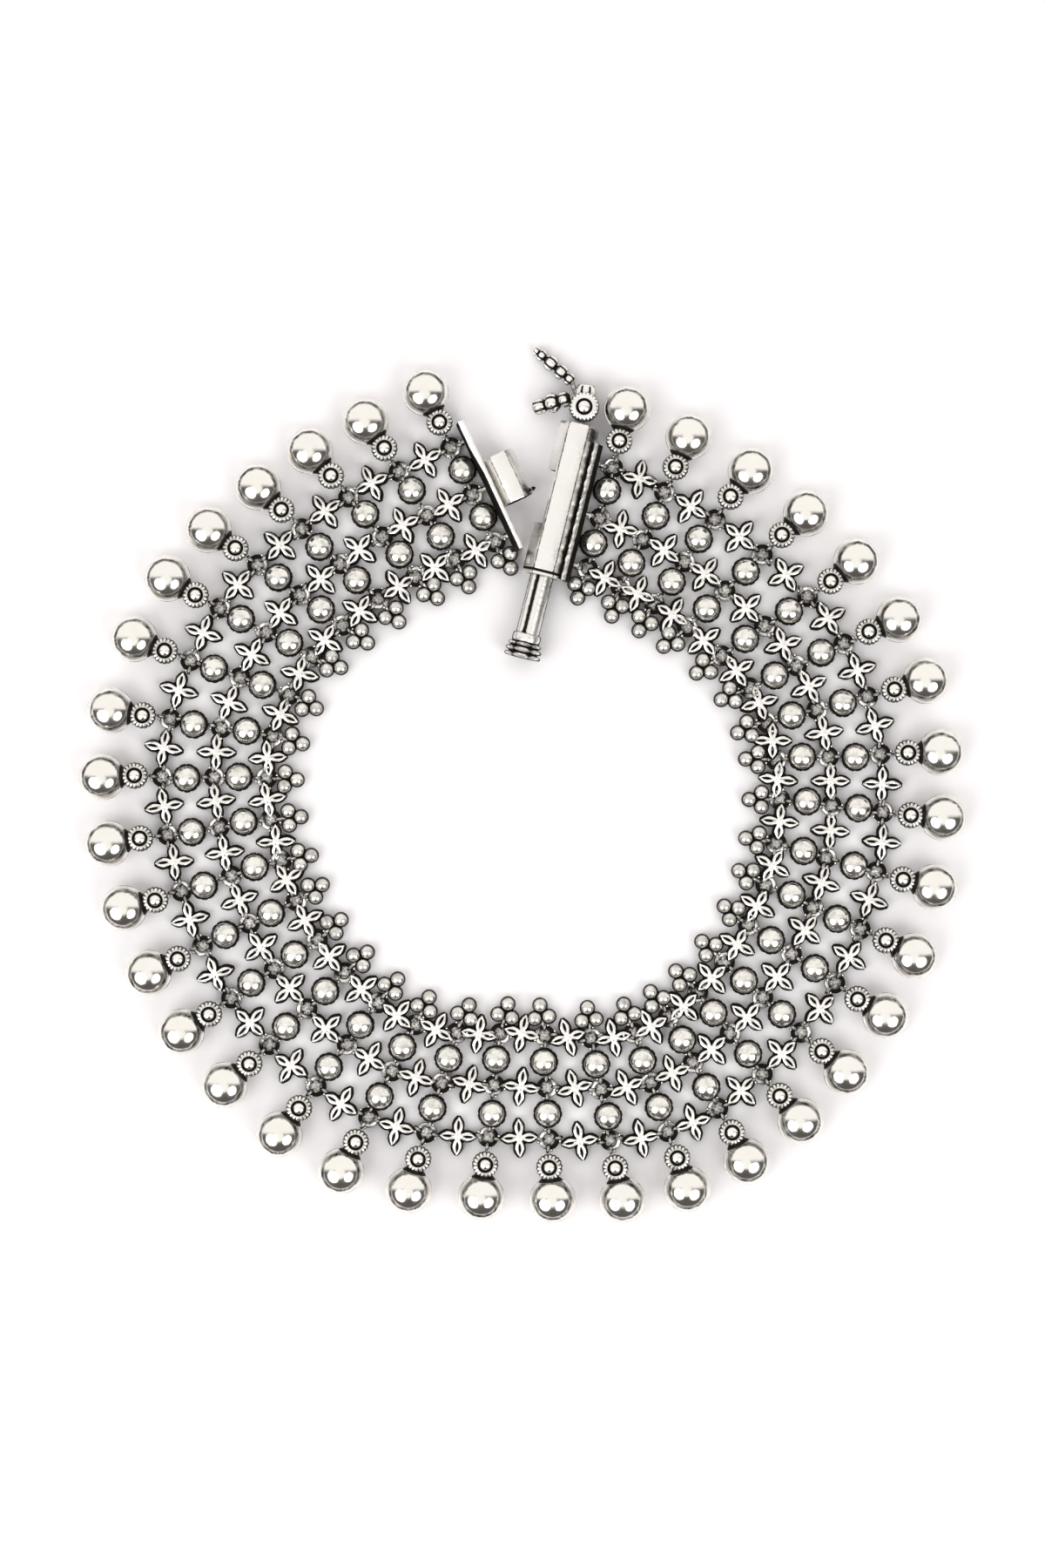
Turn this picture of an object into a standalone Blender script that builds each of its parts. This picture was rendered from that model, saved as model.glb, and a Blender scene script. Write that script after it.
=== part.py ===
# Payal anklet: a flexible silver band laid flat on a surface, curved round into a ring with
# its clasp open. Thirty-six columns hang side by side. From the outside in, each column is a
# bell with a round cap, a jump ring, a domed bead, a jump ring, a domed bead, a jump ring and
# three granules. Four-petalled flowers join the jump rings of neighbouring columns, so the
# rings and the flowers make three chains. A knuckle on one end of the band fits into the
# window of a six-sided tube on the other end, and a sliding pin goes through both.
# Metres, +Z up. The origin is the middle of the footprint, on the surface.

import math

import bmesh
import bpy
from mathutils import Matrix, Vector

# Band
COLUMNS = 36
# The band's route: where a column's middle jump ring lies, and which way its bell points, in
# degrees from +X. The rows are evenly spaced from the first column to the last.
BAND_ROUTE = [
    # x, y, facing
    (-0.0070, 0.0406, 115),
    (-0.0227, 0.0329, 134),
    (-0.0360, 0.0213, 152),
    (-0.0430, 0.0044, 175),
    (-0.0409, -0.0129, 197),
    (-0.0327, -0.0288, 219),
    (-0.0183, -0.0403, 243),
    (-0.0003, -0.0424, 268),
    (0.0180, -0.0419, 289),
    (0.0315, -0.0326, 313),
    (0.0408, -0.0173, 335),
    (0.0433, 0.0004, 358),
    (0.0385, 0.0166, 385),
    (0.0256, 0.0293, 409),
    (0.0109, 0.0373, 436),
]

# Clearances
FIT_GAP = 0.0003
LINK_GAP = 0.0004
SOLDER_DEPTH = 0.0003
CUT_MARGIN = 0.0005

# Bells and their caps
BELL_DIAMETER = 0.0062
CAP_DIAMETER = 0.0037
CAP_HEIGHT = 0.0034

# Domed beads
DOME_DIAMETER = 0.0038
DOME_HEIGHT = 0.0036
DOME_SHOULDER = 0.0028
DOME_CROWN_DIAMETER = 0.0026

# Chains of jump rings and flowers
RING_DIAMETER = 0.0030
FLOWER_SPAN = 0.0058
FLOWER_WAIST = 0.0013
EYE_WIDTH = 0.0010
EYE_REACH = 0.0001
CHAIN_BOTTOM = 0.0004
CHAIN_THICKNESS = 0.0013

# Granules in threes on the inner edge
GRANULE_DIAMETER = 0.0020

# Plates that end the band, and their lugs
PLATE_THICKNESS = 0.0009
PLATE_HEIGHT = 0.0048
PLATE_PAST_LUG = 0.0025
PLATE_GAP = 0.0005
LUG_WIDTH = 0.0011
LUG_HEIGHT = 0.0012

# Clasp pin
PIN_DIAMETER = 0.0033
PIN_DRAWN_OUT = 0.0080
PIN_SEAM = 0.0004
COLLAR_RIM = 0.00035
COLLAR_LENGTH = 0.0014
HEAD_RIM = 0.00105
HEAD_GROOVE = 0.0004
HEAD_LENGTH = 0.0021
HEAD_RIBS = 3

# Clasp knuckle and tube
PIN_PLAY = 0.0002
KNUCKLE_WALL = 0.00025
KNUCKLE_LENGTH = 0.0070
KNUCKLE_PLAY = 0.0001
WINDOW_GAP = 0.0003
TUBE_WALL = 0.00035
TUBE_LENGTH = 0.0219
TUBE_OFFSET = 0.0010
SURFACE_GAP = 0.00005

# Rosette past the tube's end, and the two small drops that hang from it
ROSETTE_DIAMETER = 0.0043
STEM_DIAMETER = 0.0009
DROPS = [
    # name, side of the rosette it leaves, facing, slope, stem, length, diameter
    ("long_drop", 95, 139, 3, 0.0024, 0.0065, 0.0024),
    ("short_drop", 150, 194, 24, 0.0004, 0.0050, 0.0029),
]
DROP_OUTLINE = [
    # share of the length from the stem, share of the diameter
    (0.00, 0.62),
    (0.12, 0.86),
    (0.24, 0.60),
    (0.42, 1.00),
    (0.60, 0.60),
    (0.72, 0.90),
    (0.86, 0.64),
    (1.00, 0.30),
]

# How finely round pieces are faceted
BEAD_SIDES = 10
BELL_RINGS = 4
PIN_SIDES = 16
SMOOTH_ANGLE = 50

# Distances along a column, from one jump ring to the next and on to the bell
RING_RADIUS = RING_DIAMETER / 2
DOME_FROM_RING = RING_RADIUS + EYE_REACH + DOME_DIAMETER / 2
DOME_STACK = DOME_FROM_RING + DOME_DIAMETER / 2 + LINK_GAP + RING_RADIUS
ROW_PITCH = max(DOME_STACK, FLOWER_SPAN + FIT_GAP)
CAP_FROM_RING = RING_RADIUS + FIT_GAP + CAP_DIAMETER / 2
BELL_FROM_CAP = (CAP_DIAMETER + BELL_DIAMETER) / 2 - SOLDER_DEPTH
GRANULES_FROM_RING = RING_RADIUS + EYE_REACH + GRANULE_DIAMETER / 2

# Distances across the clasp
PLATE_FROM_COLUMN = DOME_DIAMETER / 2 + PLATE_GAP + PLATE_THICKNESS / 2
PLATE_LENGTH = 2 * (ROW_PITCH + PLATE_PAST_LUG)
LUG_LENGTH = PLATE_FROM_COLUMN - RING_RADIUS - FIT_GAP
PIN_BORE = PIN_DIAMETER + 2 * PIN_PLAY
KNUCKLE_FLATS = PIN_BORE + 2 * KNUCKLE_WALL
TUBE_INSIDE = KNUCKLE_FLATS + 2 * KNUCKLE_PLAY
TUBE_FLATS = TUBE_INSIDE + 2 * TUBE_WALL
PIN_LENGTH = TUBE_LENGTH - TUBE_WALL
HEAD_DIAMETER = PIN_DIAMETER + 2 * HEAD_RIM
CLASP_HEIGHT = max(HEAD_DIAMETER, TUBE_FLATS) / 2 + SURFACE_GAP


def clear_scene():
    for item in list(bpy.data.objects):
        bpy.data.objects.remove(item)


def new_collection(name):
    made = bpy.data.collections.new(name)
    bpy.context.scene.collection.children.link(made)
    return made


def silver(name, roughness):
    made = bpy.data.materials.new(name)
    made.use_nodes = True
    shader = made.node_tree.nodes["Principled BSDF"]
    shader.inputs["Base Color"].default_value = (0.78, 0.77, 0.75, 1.0)
    shader.inputs["Metallic"].default_value = 1.0
    shader.inputs["Roughness"].default_value = roughness
    return made


def moved(x, y, z):
    return Matrix.Translation((x, y, z))


def turned_to(degrees, axis):
    return Matrix.Rotation(math.radians(degrees), 4, axis)


def across_corners(flats):
    return flats / math.cos(math.radians(30))


def add_part(name, mesh, material, frame):
    part = bpy.data.objects.new(name, mesh)
    if not mesh.materials:
        mesh.materials.append(material)
        mesh.shade_smooth()
        mesh.set_sharp_from_angle(angle=math.radians(SMOOTH_ANGLE))
    part.matrix_world = frame
    parts.objects.link(part)


def baked(item):
    # The object's mesh with its modifiers applied, welded along its seams and its caps.
    bpy.context.view_layer.update()
    graph = bpy.context.evaluated_depsgraph_get()
    mesh = bpy.data.meshes.new_from_object(item.evaluated_get(graph))
    mesh.transform(item.matrix_world)
    work = bmesh.new()
    work.from_mesh(mesh)
    bmesh.ops.remove_doubles(work, verts=work.verts, dist=1e-6)
    bmesh.ops.recalc_face_normals(work, faces=work.faces)
    work.to_mesh(mesh)
    work.free()
    mesh.materials.clear()
    bpy.data.objects.remove(item)
    return mesh


def primitive(create, **sizes):
    work = bmesh.new()
    create(work, **sizes)
    mesh = bpy.data.meshes.new("primitive")
    work.to_mesh(mesh)
    work.free()
    return mesh


def block(length, width, height, frame):
    # A box centred on the frame, its length along the frame's X.
    sized = frame @ Matrix.Diagonal((length, width, height, 1))
    return primitive(bmesh.ops.create_cube, size=1, matrix=sized)


def rod(diameter, length, sides, frame):
    # A prism centred on the frame, along the frame's X.
    return primitive(
        bmesh.ops.create_cone,
        cap_ends=True,
        segments=sides,
        radius1=diameter / 2,
        radius2=diameter / 2,
        depth=length,
        matrix=frame @ turned_to(90, "Y"),
    )


def ball(diameter, frame):
    return primitive(
        bmesh.ops.create_uvsphere,
        u_segments=BEAD_SIDES,
        v_segments=BELL_RINGS,
        radius=diameter / 2,
        matrix=frame,
    )


def turned(profile, sides):
    # A profile of (radius, height) pairs, from the top down, turned about Z.
    mesh = bpy.data.meshes.new("profile")
    points = [(radius, 0, height) for radius, height in profile]
    mesh.from_pydata(points, [(i, i + 1) for i in range(len(points) - 1)], [])
    item = bpy.data.objects.new("turned", mesh)
    parts.objects.link(item)
    screw = item.modifiers.new("Turn", "SCREW")
    screw.steps = sides
    screw.render_steps = sides
    screw.use_merge_vertices = True
    screw.merge_threshold = 1e-6
    return baked(item)


def drum(diameter, height):
    radius, top = diameter / 2, height / 2
    return turned([(0, top), (radius, top), (radius, -top), (0, -top)], BEAD_SIDES)


def flat_plate(outline, thickness, bottom):
    # A closed outline of (x, y) pairs, as a plate that stands on this height.
    curve = bpy.data.curves.new("outline", "CURVE")
    curve.dimensions = "2D"
    curve.fill_mode = "BOTH"
    curve.extrude = thickness / 2
    line = curve.splines.new("POLY")
    line.points.add(len(outline) - 1)
    for point, (x, y) in zip(line.points, outline):
        point.co = (x, y, 0, 1)
    line.use_cyclic_u = True
    item = bpy.data.objects.new("plate", curve)
    item.location.z = bottom + thickness / 2
    parts.objects.link(item)
    return baked(item)


def repeated(mesh, frames):
    # Copies of a mesh, clear of each other, in one mesh.
    work = bmesh.new()
    for frame in frames:
        copy = mesh.copy()
        copy.transform(frame)
        work.from_mesh(copy)
        bpy.data.meshes.remove(copy)
    joined = bpy.data.meshes.new("repeated")
    work.to_mesh(joined)
    work.free()
    return joined


def combined(mesh, joins=(), cuts=()):
    # The mesh with every join added to it and then every cut taken out.
    item = bpy.data.objects.new("combined", mesh)
    parts.objects.link(item)
    steps = [("UNION", join) for join in joins] + [("DIFFERENCE", cut) for cut in cuts]
    tools = []
    for operation, tool_mesh in steps:
        tool = bpy.data.objects.new("tool", tool_mesh)
        tool.hide_render = True
        tool.display_type = "WIRE"
        cutters.objects.link(tool)
        boolean = item.modifiers.new("Boolean", "BOOLEAN")
        boolean.operation = operation
        boolean.object = tool
        tools.append(tool)
    mesh = baked(item)
    for tool in tools:
        bpy.data.objects.remove(tool)
    return mesh


def route_at(column):
    # Place and facing at a column, or part of the way between two columns. The curve goes
    # through every row of the route, and runs straight on at its ends.
    before = [2 * end - inner for end, inner in zip(BAND_ROUTE[0], BAND_ROUTE[1])]
    after = [2 * end - inner for end, inner in zip(BAND_ROUTE[-1], BAND_ROUTE[-2])]
    rows = [before, *BAND_ROUTE, after]
    spans = len(BAND_ROUTE) - 1
    along = column / (COLUMNS - 1) * spans
    start = min(int(along), spans - 1)
    t = along - start
    values = []
    for a, b, c, d in zip(*rows[start : start + 4]):
        rise = (c - a) * t + (2 * a - 5 * b + 4 * c - d) * t**2 + (3 * b - a - 3 * c + d) * t**3
        values.append(b + rise / 2)
    return values


def column_frame(column, outward=0.0):
    # A frame this far outward of the middle ring. Its X points outward, and its Y points to
    # the next column.
    x, y, facing = route_at(column)
    return moved(x, y, 0) @ turned_to(facing, "Z") @ moved(outward, 0, 0)


def chain_outline(row, hangs):
    # The outline of one chain, from above: a jump ring at each column and a flower between
    # each two. Hangs are (reach, half width) pairs of what a ring carries on its inner side.
    corner_across = RING_RADIUS * math.cos(math.radians(60))
    corner_reach = RING_RADIUS * math.sin(math.radians(60))
    petal = FLOWER_SPAN / 2
    waist = FLOWER_WAIST / 2
    ring_outside = [(corner_reach, -corner_across), (corner_reach, corner_across)]
    going_in = [(-corner_reach, -corner_across)] + [(-reach, -wide) for reach, wide in hangs]
    coming_out = [(reach, -across) for reach, across in reversed(going_in)]
    flower_outside = [(waist, -waist), (petal, 0), (waist, waist)]
    flower_inside = [(-reach, across) for reach, across in flower_outside]

    outside, inside = [], []
    for step in range(2 * COLUMNS - 1):
        frame = column_frame(step / 2, row * ROW_PITCH)
        at_flower = step % 2
        for side, points in (
            (outside, flower_outside if at_flower else ring_outside),
            (inside, flower_inside if at_flower else going_in + coming_out),
        ):
            side += [(frame @ Vector((reach, across, 0))).xy for reach, across in points]
    start = column_frame(0, row * ROW_PITCH) @ Vector((0, -RING_RADIUS, 0))
    end = column_frame(COLUMNS - 1, row * ROW_PITCH) @ Vector((0, RING_RADIUS, 0))
    return [start.xy] + outside + [end.xy] + inside[::-1]


def make_domes(row):
    # The domed beads that hang on the inner side of a row's jump rings.
    radius = DOME_DIAMETER / 2
    profile = [(0, DOME_HEIGHT), (DOME_CROWN_DIAMETER / 2, DOME_SHOULDER), (radius, 0), (0, 0)]
    outward = row * ROW_PITCH - DOME_FROM_RING
    frames = [column_frame(column, outward) for column in range(COLUMNS)]
    return repeated(turned(profile, BEAD_SIDES), frames)


def make_beaded_chain(name, row):
    # A chain with a domed bead on each of its jump rings.
    outline = chain_outline(row, [(DOME_FROM_RING, EYE_WIDTH / 2)])
    chain = flat_plate(outline, CHAIN_THICKNESS, CHAIN_BOTTOM)
    add_part(name, combined(chain, joins=[make_domes(row)]), oxidised, Matrix())


def make_inner_chain(name, row):
    # A chain with three granules on each of its jump rings, two abreast and one at the tip.
    granule = GRANULE_DIAMETER / 2
    tip_from_ring = GRANULES_FROM_RING + GRANULE_DIAMETER * math.sin(math.radians(60))
    hangs = [
        (GRANULES_FROM_RING - granule / 2, 2 * granule),
        (GRANULES_FROM_RING + granule / 2, 2 * granule),
        (tip_from_ring + granule, granule / 2),
    ]
    chain = flat_plate(chain_outline(row, hangs), CHAIN_THICKNESS, CHAIN_BOTTOM)
    add_part(name, chain, oxidised, Matrix())


def make_bells():
    # A ball with its cap soldered on the side of the band. It lies on the surface.
    hanging = ball(BELL_DIAMETER, moved(BELL_FROM_CAP, 0, 0))
    bell = combined(hanging, joins=[drum(CAP_DIAMETER, CAP_HEIGHT)])
    for column in range(COLUMNS):
        frame = column_frame(column, ROW_PITCH + CAP_FROM_RING) @ moved(0, 0, BELL_DIAMETER / 2)
        add_part(f"bell_{column + 1:02d}", bell, polished, frame)


def lugs(side):
    # The plate's tabs toward the three jump rings of the column beside it.
    across = side * (PLATE_FROM_COLUMN - LUG_LENGTH / 2)
    height = CHAIN_BOTTOM + CHAIN_THICKNESS / 2
    frames = [moved(row * ROW_PITCH, across, height) for row in (-1, 0, 1)]
    return [block(LUG_WIDTH, LUG_LENGTH, LUG_HEIGHT, frame) for frame in frames]


def end_plate(side):
    across = side * PLATE_FROM_COLUMN
    return block(PLATE_LENGTH, PLATE_THICKNESS, PLATE_HEIGHT, moved(0, across, PLATE_HEIGHT / 2))


def barrel_frame(flats, side):
    # Where a six-sided barrel's axis lies when the barrel is soldered on the plate's far face.
    across = PLATE_FROM_COLUMN + (across_corners(flats) + PLATE_THICKNESS) / 2 - SOLDER_DEPTH
    return moved(0, side * across, CLASP_HEIGHT)


def make_knuckle():
    # The end plate before the first column, and the short barrel on it.
    side = -1
    frame = barrel_frame(KNUCKLE_FLATS, side)
    barrel = rod(across_corners(KNUCKLE_FLATS), KNUCKLE_LENGTH, 6, frame)
    bore = rod(PIN_BORE, KNUCKLE_LENGTH + CUT_MARGIN, PIN_SIDES, frame)
    knuckle = combined(end_plate(side), joins=lugs(side) + [barrel], cuts=[bore])
    add_part("clasp_knuckle", knuckle, polished, column_frame(0))


def make_tube():
    # The end plate past the last column, and the tube on it. The tube is closed at its outer
    # end, and its window faces the knuckle. Returns the frame of the tube's middle.
    side = 1
    frame = barrel_frame(TUBE_FLATS, side) @ moved(TUBE_OFFSET, 0, 0)
    tube = rod(across_corners(TUBE_FLATS), TUBE_LENGTH, 6, frame)
    hollow = rod(across_corners(TUBE_INSIDE), TUBE_LENGTH, 6, frame @ moved(-TUBE_WALL, 0, 0))
    window = block(
        KNUCKLE_LENGTH + 2 * WINDOW_GAP,
        TUBE_FLATS,
        KNUCKLE_FLATS + KNUCKLE_PLAY,
        frame @ moved(0, TUBE_FLATS / 2, 0),
    )
    whole = combined(end_plate(side), joins=lugs(side) + [tube], cuts=[hollow, window])
    add_part("clasp_tube", whole, polished, column_frame(COLUMNS - 1))
    return column_frame(COLUMNS - 1) @ frame


def make_pin(tube_frame):
    # The pin, drawn part of the way out of the tube's open end. Its origin is on its axis,
    # where the shaft meets the head, and its X points along the shaft into the tube.
    whole_length = PIN_LENGTH + SOLDER_DEPTH
    shaft = rod(PIN_DIAMETER, whole_length, PIN_SIDES, moved(whole_length / 2 - SOLDER_DEPTH, 0, 0))
    collar = COLLAR_RIM + PIN_DIAMETER / 2
    outer = HEAD_DIAMETER / 2
    discs = 2 * HEAD_RIBS - 1
    profile = [(0, 0), (collar, 0), (collar, COLLAR_LENGTH)]
    for disc in range(discs):
        radius = outer - HEAD_GROOVE * (disc % 2)
        profile.append((radius, COLLAR_LENGTH + HEAD_LENGTH * disc / discs))
        profile.append((radius, COLLAR_LENGTH + HEAD_LENGTH * (disc + 1) / discs))
    profile.append((0, COLLAR_LENGTH + HEAD_LENGTH))
    head = turned(profile[::-1], PIN_SIDES)
    head.transform(turned_to(-90, "Y"))
    seam_frame = moved(PIN_LENGTH / 2, 0, PIN_DIAMETER / 2)
    seam = block(PIN_LENGTH - PIN_DIAMETER, PIN_SEAM, PIN_SEAM, seam_frame)
    pin = combined(shaft, joins=[head], cuts=[seam])
    head_from_middle = TUBE_LENGTH / 2 + FIT_GAP + PIN_DRAWN_OUT
    add_part("clasp_pin", pin, polished, tube_frame @ moved(-head_from_middle, 0, 0))


def make_drops(tube_frame):
    # The rosette past the tube's closed end, and the two drops that hang from it.
    radius = ROSETTE_DIAMETER / 2
    frame = tube_frame @ moved(TUBE_LENGTH / 2 + FIT_GAP + radius, 0, 0)
    add_part("drop_rosette", drum(ROSETTE_DIAMETER, CAP_HEIGHT), oxidised, frame)
    x, y, _ = frame.translation
    for name, leaves, facing, slope, stem, length, diameter in DROPS:
        profile = [(0, 0), (STEM_DIAMETER / 2, 0), (STEM_DIAMETER / 2, stem)]
        profile += [(wide * diameter / 2, stem + share * length) for share, wide in DROP_OUTLINE]
        profile.append((0, stem + length))
        drop = turned(profile[::-1], BEAD_SIDES)
        height = diameter / 2 + (stem + length) * math.sin(math.radians(slope))
        start = moved(x, y, height) @ turned_to(leaves, "Z") @ moved(radius + FIT_GAP, 0, 0)
        pointing = turned_to(facing - leaves, "Z") @ turned_to(90 + slope, "Y")
        add_part(name, drop, oxidised, start @ pointing)


clear_scene()
parts = new_collection("payal_anklet")
cutters = new_collection("cutters")
polished = silver("polished_silver", 0.18)
oxidised = silver("oxidised_silver", 0.34)
make_bells()
make_beaded_chain("outer_chain", 1)
make_beaded_chain("middle_chain", 0)
make_inner_chain("inner_chain", -1)
make_knuckle()
clasp_frame = make_tube()
make_pin(clasp_frame)
make_drops(clasp_frame)
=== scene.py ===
import math
import random
import bmesh
import bpy
from mathutils import Matrix, Vector, noise


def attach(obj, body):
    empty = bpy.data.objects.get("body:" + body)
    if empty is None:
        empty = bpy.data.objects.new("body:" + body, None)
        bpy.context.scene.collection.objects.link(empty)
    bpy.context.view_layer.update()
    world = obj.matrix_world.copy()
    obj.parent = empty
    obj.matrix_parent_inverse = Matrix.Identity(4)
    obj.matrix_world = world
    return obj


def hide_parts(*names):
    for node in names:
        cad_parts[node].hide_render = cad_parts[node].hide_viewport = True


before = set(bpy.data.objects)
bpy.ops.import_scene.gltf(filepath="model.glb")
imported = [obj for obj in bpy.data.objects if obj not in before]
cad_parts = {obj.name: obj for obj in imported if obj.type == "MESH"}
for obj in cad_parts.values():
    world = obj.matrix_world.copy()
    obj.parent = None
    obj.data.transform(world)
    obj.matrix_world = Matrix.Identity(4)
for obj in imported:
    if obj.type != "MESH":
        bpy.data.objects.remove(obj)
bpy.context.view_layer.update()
print("frame loaded:", len(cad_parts), "nodes")

# Lengths in the dictionaries are in millimetres, or in metres where mm multiplies them.
mm = 0.001
dice = random.Random(11)
noise.seed_set(11)  # its vectors differ from run to run without it

# The band, from the inner side of the loop outwards: three chains side by side, then bells.
band = {
    "columns": 36,
    "rowPitch": 7.3 * mm,
    # x and y in metres and the facing in degrees of the middle chain's jump rings, evenly
    # spaced from the first column to the last
    "route": [
        (-0.0070, 0.0406, 115),
        (-0.0227, 0.0329, 134),
        (-0.0360, 0.0213, 152),
        (-0.0430, 0.0044, 175),
        (-0.0409, -0.0129, 197),
        (-0.0327, -0.0288, 219),
        (-0.0183, -0.0403, 243),
        (-0.0003, -0.0424, 268),
        (0.0180, -0.0419, 289),
        (0.0315, -0.0326, 313),
        (0.0408, -0.0173, 335),
        (0.0433, 0.0004, 358),
        (0.0385, 0.0166, 385),
        (0.0256, 0.0293, 409),
        (0.0109, 0.0373, 436),
    ],
}


def shift(x, y=0.0, z=0.0):
    return Matrix.Translation((x, y, z))


def turn(degrees, axis):
    return Matrix.Rotation(math.radians(degrees), 4, axis)


def sway(most):
    return dice.uniform(-most, most)


def steps(start, stop, count):
    return [start + (stop - start) * step / count for step in range(count + 1)]


def clamped(value):
    return min(1, max(0, value))


def smoothStep(low, high, value):
    t = clamped((value - low) / (high - low))
    return t * t * (3 - 2 * t)


def wave(angle, power=1):
    # Falls from 1 to 0 and rises again in each full turn, with narrower peaks at a high power
    return (0.5 + 0.5 * math.cos(angle)) ** power


def routeAt(column):
    # Place and facing at a column, or part of the way to the next, on a smooth curve through
    # the points of the route
    route = band["route"]
    before = [2 * end - inner for end, inner in zip(route[0], route[1])]
    after = [2 * end - inner for end, inner in zip(route[-1], route[-2])]
    rows = [before, *route, after]
    spans = len(route) - 1
    along = column / (band["columns"] - 1) * spans
    start = min(int(along), spans - 1)
    t = along - start
    values = []
    for a, b, c, d in zip(*rows[start : start + 4]):
        rise = (c - a) * t + (2 * a - 5 * b + 4 * c - d) * t**2 + (3 * b - a - 3 * c + d) * t**3
        values.append(b + rise / 2)
    return values


def columnFrame(column, outward=0.0, height=0.0):
    # X points outward and Y to the next column
    x, y, facing = routeAt(column)
    return shift(x, y) @ turn(facing, "Z") @ shift(outward, 0, height)


def pitchAt(column, outward):
    # How far apart two neighbouring columns are in this row
    here = columnFrame(column - 0.5, outward).translation
    there = columnFrame(column + 0.5, outward).translation
    return (there - here).length


# Shapes are made as bmeshes with a value on every vertex for tarnish and painted shade: 0 is
# rubbed bright and 1 is the black of a deep groove or of painted shade.


def newShape():
    shape = bmesh.new()
    shape.verts.layers.float.new("tarnishAndShade")
    return shape


def addVert(shape, spot, tarnishAndShade):
    vert = shape.verts.new(spot)
    vert[shape.verts.layers.float["tarnishAndShade"]] = tarnishAndShade
    return vert


def bridge(shape, rings):
    # Quads between one ring of vertices and the next, or triangles at a single vertex
    for first, second in zip(rings, rings[1:]):
        count = max(len(first), len(second))
        for here in range(count):
            there = (here + 1) % count
            corners = [
                first[here % len(first)],
                first[there % len(first)],
                second[there % len(second)],
                second[here % len(second)],
            ]
            shape.faces.new(list(dict.fromkeys(corners)))


def lathe(shape, rows, sides, place=Matrix(), ripple=None):
    # Rows of radius and height in millimetres, with tarnish and painted shade, turned about Z. The
    # ripple adds to a row's radius and tarnish by its number and the angle.
    rings = []
    for number, (radius, height, tarnishAndShade) in enumerate(rows):
        ring = []
        for side in range(sides if radius > 0 else 1):
            angle = 2 * math.pi * side / sides
            grow, stainAndShade = ripple(number, angle) if ripple and radius > 0 else (0, 0)
            reach = radius + grow
            spot = Vector((reach * math.cos(angle), reach * math.sin(angle), height)) * mm
            ring.append(addVert(shape, place @ spot, clamped(tarnishAndShade + stainAndShade)))
        rings.append(ring)
    bridge(shape, rings)


def addBar(shape, outlines, place=Matrix()):
    # A skin over closed outlines of x, y, z in millimetres and of tarnish with painted shade,
    # flat at both ends
    rings = []
    for outline in outlines:
        ring = []
        for x, y, z, tarnishAndShade in outline:
            ring.append(addVert(shape, place @ (Vector((x, y, z)) * mm), clamped(tarnishAndShade)))
        rings.append(ring)
    bridge(shape, rings)
    shape.faces.new(rings[0][::-1])
    shape.faces.new(rings[-1])


def sweep(shape, points, radius, sides, tarnishAndShade, place=Matrix(), up=(0, 0, 1), closed=True):
    # A round wire along points in millimetres that stay across the up direction. Its tarnish
    # and painted shade may be a list with a value for each point.
    points = [Vector(point) for point in points]
    up = Vector(up)
    stainsAndShade = tarnishAndShade if isinstance(tarnishAndShade, list) else [tarnishAndShade] * len(points)
    rings = []
    for number, (point, stainAndShade) in enumerate(zip(points, stainsAndShade)):
        before = points[number - 1] if number or closed else point
        after = points[(number + 1) % len(points)] if number < len(points) - 1 or closed else point
        along = (after - before).normalized()
        across = along.cross(up).normalized()
        over = across.cross(along)
        ring = []
        for side in range(sides):
            angle = 2 * math.pi * side / sides
            spot = point + radius * (math.cos(angle) * across + math.sin(angle) * over)
            ring.append(addVert(shape, place @ (spot * mm), stainAndShade))
        rings.append(ring)
    if closed:
        bridge(shape, rings + rings[:1])
    else:
        bridge(shape, rings)
        shape.faces.new(rings[0][::-1])
        shape.faces.new(rings[-1])


def bead(shape, radius, rings, sides, place, stainAndShade=None, press=None):
    # A ball; one function gives the tarnish and painted shade of a point from its direction, and
    # press reshapes the direction itself
    loops = []
    for ring in range(rings + 1):
        polar = math.pi * ring / rings
        flat = math.sin(polar)
        loop = []
        for side in range(sides if 0 < ring < rings else 1):
            angle = 2 * math.pi * side / sides
            aim = Vector((flat * math.cos(angle), flat * math.sin(angle), math.cos(polar)))
            pushed = press(aim) if press else aim
            tarnishAndShade = clamped(stainAndShade(aim)) if stainAndShade else 0.0
            loop.append(addVert(shape, place @ (pushed * radius * mm), tarnishAndShade))
        loops.append(loop)
    bridge(shape, loops)


def repaint(mesh, rule):
    # The rule gives the new tarnish and shade of a vertex from the vertex and its old value
    values = mesh.attributes["tarnishAndShade"].data
    for vert in mesh.vertices:
        values[vert.index].value = rule(vert, values[vert.index].value)


def shadeAndDullSides(mesh, sides):
    # Darker on the sides and undersides than on the tops: partly patina that polishing doesn't
    # reach, partly painted shade. Sides holds the rise of a normal up to which the metal stays
    # dark, the rise from which it is bright, and how dark.
    steep, level, most = sides

    def dulled(vert, old):
        return max(old, most * (1 - smoothStep(steep, level, vert.normal.z)))

    repaint(mesh, dulled)


def finished(shape, sides=None):
    # The bmesh as a mesh with its faces pointing out
    bmesh.ops.recalc_face_normals(shape, faces=shape.faces)
    mesh = bpy.data.meshes.new("shape")
    shape.to_mesh(mesh)
    shape.free()
    if sides:
        shadeAndDullSides(mesh, sides)
    return mesh


def joinMeshes(meshes):
    # One mesh that takes the place of several
    work = bmesh.new()
    for mesh in meshes:
        work.from_mesh(mesh)
        bpy.data.meshes.remove(mesh)
    joined = bpy.data.meshes.new("joined")
    work.to_mesh(joined)
    work.free()
    return joined


def copies(mesh, places):
    # One mesh of many copies
    placed = []
    for place in places:
        copy = mesh.copy()
        copy.transform(place)
        placed.append(copy)
    return joinMeshes(placed)


counted = {}


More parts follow.
